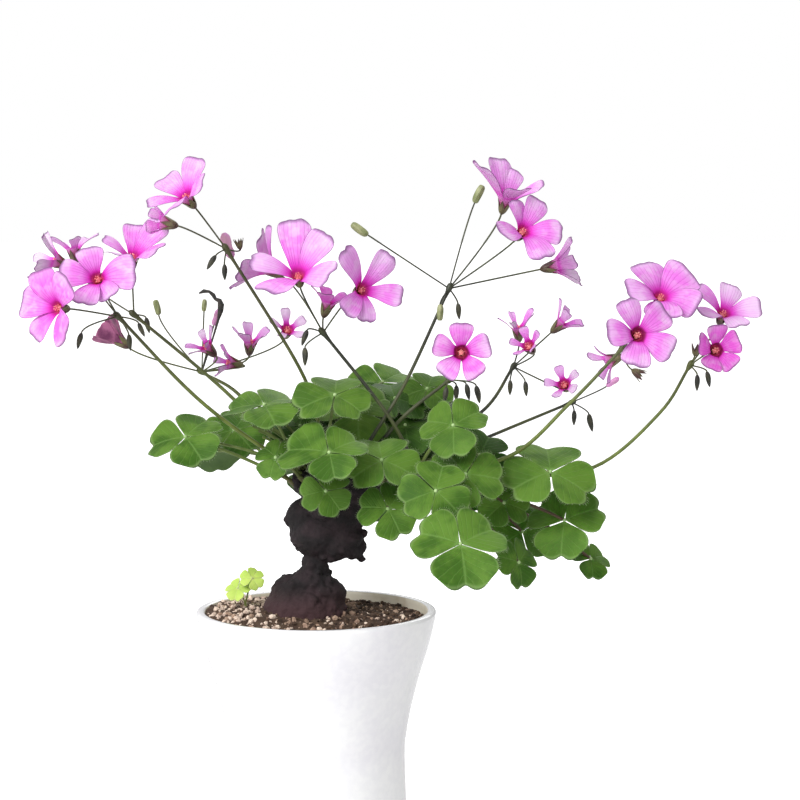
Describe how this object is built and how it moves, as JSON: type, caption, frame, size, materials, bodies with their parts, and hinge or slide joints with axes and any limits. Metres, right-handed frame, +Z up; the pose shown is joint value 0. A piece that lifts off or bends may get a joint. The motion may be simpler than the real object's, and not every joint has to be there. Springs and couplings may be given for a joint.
{
  "type": "potted pink sorrel",
  "caption": "Flowering pink sorrel on a bare knobby woody tuber, with clover-like leaves and loose umbels of pink blooms, in a tall flared white glazed pot filled with soil.",
  "frame": {"origin": "middle of the pot's flat foot on the surface it stands on", "axes": "+Z up, +X to the viewer's right and +Y away from the viewer as in the picture"},
  "size_m": [0.2412, 0.1233, 0.2494],
  "materials": {
    "glaze": "white glaze",
    "potting_soil": "dark crumbly soil",
    "bark": "rough dark bark",
    "sprout": "soft matte",
    "stalk": "satin",
    "petal": "soft matte",
    "leaf": "soft matte"
  },
  "bodies": {
    "root": {"pot": "glaze", "soil": "potting_soil", "tuber": "bark", "seedling": "sprout", "flower_stalk_01": "stalk", "flower_stalk_02": "stalk", "flower_stalk_03": "stalk", "flower_stalk_04": "stalk", "flower_stalk_05": "stalk", "flower_stalk_06": "stalk", "flower_stalk_07": "stalk", "flower_stalk_08": "stalk", "flower_stalk_09": "stalk", "flower_stalk_10": "stalk", "flower_stalk_11": "stalk", "bloom_01": "petal", "bloom_02": "petal", "bloom_03": "petal", "bloom_04": "petal", "bloom_05": "petal", "bloom_06": "petal", "bloom_07": "petal", "bloom_08": "petal", "bloom_09": "petal", "bloom_10": "petal", "bloom_11": "petal", "bloom_12": "petal", "bloom_13": "petal", "bloom_14": "petal", "bloom_15": "petal", "bloom_16": "petal", "bloom_17": "petal", "bloom_18": "petal", "bloom_19": "petal", "bloom_20": "petal", "bloom_21": "petal", "bloom_22": "petal", "bloom_23": "petal", "bloom_24": "petal", "bloom_25": "petal", "bloom_26": "petal", "bloom_27": "petal", "bloom_28": "petal", "bloom_29": "petal", "leaf_pair_01": "leaf", "leaf_pair_02": "leaf", "leaf_pair_03": "leaf", "leaf_pair_04": "leaf", "leaf_pair_05": "leaf", "leaf_pair_06": "leaf", "leaf_pair_07": "leaf", "leaf_pair_08": "leaf", "leaf_pair_09": "leaf", "leaf_pair_10": "leaf", "leaf_pair_11": "leaf", "leaf_pair_12": "leaf", "leaf_pair_13": "leaf", "leaf_pair_14": "leaf", "leaf_pair_15": "leaf", "leaf_pair_16": "leaf"}
  },
  "joints": []
}
